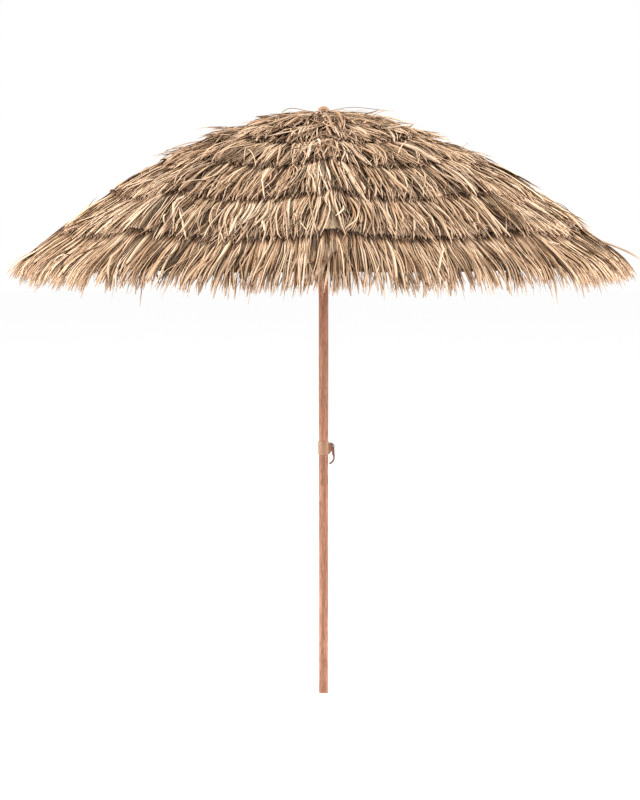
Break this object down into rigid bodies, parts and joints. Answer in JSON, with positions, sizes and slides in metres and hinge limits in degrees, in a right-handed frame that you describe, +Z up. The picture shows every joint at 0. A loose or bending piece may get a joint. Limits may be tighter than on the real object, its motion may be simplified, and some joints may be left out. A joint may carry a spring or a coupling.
{
  "type": "beach umbrella",
  "caption": "Beach umbrella with a shingled straw canopy on folding ribs, a sliding runner, a turned finial and a two-piece telescopic pole with a cam-lever clamp.",
  "frame": {"origin": "centre of the pole's bottom end", "axes": "+Z up along the pole towards the finial; +X towards the clamp lever; one rib lies along each of +X, -X, +Y and -Y, and one half way between each two"},
  "size_m": [2.094, 2.094, 1.975],
  "materials": {
    "wood_look_tube": "steel tube in a satin wood-look foil",
    "wood_look_finial": "satin wood, the pole's colour",
    "bright_steel": "zinc-plated steel",
    "tan_plastic": "fine-grained tan plastic",
    "brown_plastic": "glossy dark brown plastic",
    "foot_plastic": "matt reddish plastic",
    "canopy_cloth": "plain-woven beige polyester",
    "straw": "dry raffia straw"
  },
  "bodies": {
    "lower_pole": {"lower_pole": "wood_look_tube", "foot_plug": "foot_plastic", "collar": "tan_plastic", "lever_pin": "bright_steel"},
    "clamp_lever": {"clamp_lever": "brown_plastic"},
    "upper_pole": {"upper_pole": "wood_look_tube", "spigot": "bright_steel", "spigot_rivets": "bright_steel", "crown_hub": "tan_plastic", "crown_pins": "bright_steel", "finial": "wood_look_finial", "crown_cap": "canopy_cloth", "topknot": "straw", "stop_pin": "bright_steel", "catch_spring": "bright_steel"},
    "runner": {"runner": "tan_plastic"},
    "rib_1": {"rib_1": "bright_steel", "rib_fittings_1": "bright_steel", "canopy_1": "canopy_cloth", "thatch_1": "straw"},
    "strut_1": {"strut_1": "bright_steel"},
    "rib_2": {"rib_2": "bright_steel", "rib_fittings_2": "bright_steel", "canopy_2": "canopy_cloth", "thatch_2": "straw"},
    "strut_2": {"strut_2": "bright_steel"},
    "rib_3": {"rib_3": "bright_steel", "rib_fittings_3": "bright_steel", "canopy_3": "canopy_cloth", "thatch_3": "straw"},
    "strut_3": {"strut_3": "bright_steel"},
    "rib_4": {"rib_4": "bright_steel", "rib_fittings_4": "bright_steel", "canopy_4": "canopy_cloth", "thatch_4": "straw"},
    "strut_4": {"strut_4": "bright_steel"},
    "rib_5": {"rib_5": "bright_steel", "rib_fittings_5": "bright_steel", "canopy_5": "canopy_cloth", "thatch_5": "straw"},
    "strut_5": {"strut_5": "bright_steel"},
    "rib_6": {"rib_6": "bright_steel", "rib_fittings_6": "bright_steel", "canopy_6": "canopy_cloth", "thatch_6": "straw"},
    "strut_6": {"strut_6": "bright_steel"},
    "rib_7": {"rib_7": "bright_steel", "rib_fittings_7": "bright_steel", "canopy_7": "canopy_cloth", "thatch_7": "straw"},
    "strut_7": {"strut_7": "bright_steel"},
    "rib_8": {"rib_8": "bright_steel", "rib_fittings_8": "bright_steel", "canopy_8": "canopy_cloth", "thatch_8": "straw"},
    "strut_8": {"strut_8": "bright_steel"}
  },
  "joints": [
    {"name": "clamp_lever_hinge", "type": "hinge", "parent": "lower_pole", "child": "clamp_lever", "pos_m": [0.032, 0, 0.845], "axis": [0, -1, 0], "range_deg": [0, 105]},
    {"name": "pole_extension", "type": "slide", "parent": "lower_pole", "child": "upper_pole", "axis": [0, 0, 1], "range_m": [0, 0.25]},
    {"name": "runner_slide", "type": "slide", "parent": "upper_pole", "child": "runner", "axis": [0, 0, 1], "range_m": [-0.59457, 0], "deforming": ["catch_spring", "topknot"]},
    {"name": "rib_1_hinge", "type": "hinge", "parent": "upper_pole", "child": "rib_1", "pos_m": [0.024, 0, 1.928], "axis": [0, 1, 0], "range_deg": [-0.5, 59.5], "deforming": ["canopy_1", "thatch_1"]},
    {"name": "strut_1_hinge", "type": "hinge", "parent": "rib_1", "child": "strut_1", "pos_m": [0.4723, 0, 1.79725], "axis": [0, 1, 0], "range_deg": [-111.99, 0.5]},
    {"name": "rib_2_hinge", "type": "hinge", "parent": "upper_pole", "child": "rib_2", "pos_m": [0.01697, 0.01697, 1.928], "axis": [-0.7071, 0.7071, 0], "range_deg": [-0.5, 59.5], "deforming": ["canopy_2", "thatch_2"]},
    {"name": "strut_2_hinge", "type": "hinge", "parent": "rib_2", "child": "strut_2", "pos_m": [0.33397, 0.33397, 1.79725], "axis": [-0.7071, 0.7071, 0], "range_deg": [-111.99, 0.5]},
    {"name": "rib_3_hinge", "type": "hinge", "parent": "upper_pole", "child": "rib_3", "pos_m": [0, 0.024, 1.928], "axis": [-1, 0, 0], "range_deg": [-0.5, 59.5], "deforming": ["canopy_3", "thatch_3"]},
    {"name": "strut_3_hinge", "type": "hinge", "parent": "rib_3", "child": "strut_3", "pos_m": [0, 0.4723, 1.79725], "axis": [-1, 0, 0], "range_deg": [-111.99, 0.5]},
    {"name": "rib_4_hinge", "type": "hinge", "parent": "upper_pole", "child": "rib_4", "pos_m": [-0.01697, 0.01697, 1.928], "axis": [-0.7071, -0.7071, 0], "range_deg": [-0.5, 59.5], "deforming": ["canopy_4", "thatch_4"]},
    {"name": "strut_4_hinge", "type": "hinge", "parent": "rib_4", "child": "strut_4", "pos_m": [-0.33397, 0.33397, 1.79725], "axis": [-0.7071, -0.7071, 0], "range_deg": [-111.99, 0.5]},
    {"name": "rib_5_hinge", "type": "hinge", "parent": "upper_pole", "child": "rib_5", "pos_m": [-0.024, 0, 1.928], "axis": [0, -1, 0], "range_deg": [-0.5, 59.5], "deforming": ["canopy_5", "thatch_5"]},
    {"name": "strut_5_hinge", "type": "hinge", "parent": "rib_5", "child": "strut_5", "pos_m": [-0.4723, 0, 1.79725], "axis": [0, -1, 0], "range_deg": [-111.99, 0.5]},
    {"name": "rib_6_hinge", "type": "hinge", "parent": "upper_pole", "child": "rib_6", "pos_m": [-0.01697, -0.01697, 1.928], "axis": [0.7071, -0.7071, 0], "range_deg": [-0.5, 59.5], "deforming": ["canopy_6", "thatch_6"]},
    {"name": "strut_6_hinge", "type": "hinge", "parent": "rib_6", "child": "strut_6", "pos_m": [-0.33397, -0.33397, 1.79725], "axis": [0.7071, -0.7071, 0], "range_deg": [-111.99, 0.5]},
    {"name": "rib_7_hinge", "type": "hinge", "parent": "upper_pole", "child": "rib_7", "pos_m": [0, -0.024, 1.928], "axis": [1, 0, 0], "range_deg": [-0.5, 59.5], "deforming": ["canopy_7", "thatch_7"]},
    {"name": "strut_7_hinge", "type": "hinge", "parent": "rib_7", "child": "strut_7", "pos_m": [0, -0.4723, 1.79725], "axis": [1, 0, 0], "range_deg": [-111.99, 0.5]},
    {"name": "rib_8_hinge", "type": "hinge", "parent": "upper_pole", "child": "rib_8", "pos_m": [0.01697, -0.01697, 1.928], "axis": [0.7071, 0.7071, 0], "range_deg": [-0.5, 59.5], "deforming": ["canopy_8", "thatch_8"]},
    {"name": "strut_8_hinge", "type": "hinge", "parent": "rib_8", "child": "strut_8", "pos_m": [0.33397, -0.33397, 1.79725], "axis": [0.7071, 0.7071, 0], "range_deg": [-111.99, 0.5]}
  ],
  "couplings": [
    {"joint": "rib_1_hinge", "follows": "runner_slide", "rad_per_m": -1.7319},
    {"joint": "strut_1_hinge", "follows": "runner_slide", "rad_per_m": 3.2728},
    {"joint": "rib_2_hinge", "follows": "runner_slide", "rad_per_m": -1.7319},
    {"joint": "strut_2_hinge", "follows": "runner_slide", "rad_per_m": 3.2728},
    {"joint": "rib_3_hinge", "follows": "runner_slide", "rad_per_m": -1.7319},
    {"joint": "strut_3_hinge", "follows": "runner_slide", "rad_per_m": 3.2728},
    {"joint": "rib_4_hinge", "follows": "runner_slide", "rad_per_m": -1.7319},
    {"joint": "strut_4_hinge", "follows": "runner_slide", "rad_per_m": 3.2728},
    {"joint": "rib_5_hinge", "follows": "runner_slide", "rad_per_m": -1.7319},
    {"joint": "strut_5_hinge", "follows": "runner_slide", "rad_per_m": 3.2728},
    {"joint": "rib_6_hinge", "follows": "runner_slide", "rad_per_m": -1.7319},
    {"joint": "strut_6_hinge", "follows": "runner_slide", "rad_per_m": 3.2728},
    {"joint": "rib_7_hinge", "follows": "runner_slide", "rad_per_m": -1.7319},
    {"joint": "strut_7_hinge", "follows": "runner_slide", "rad_per_m": 3.2728},
    {"joint": "rib_8_hinge", "follows": "runner_slide", "rad_per_m": -1.7319},
    {"joint": "strut_8_hinge", "follows": "runner_slide", "rad_per_m": 3.2728}
  ]
}
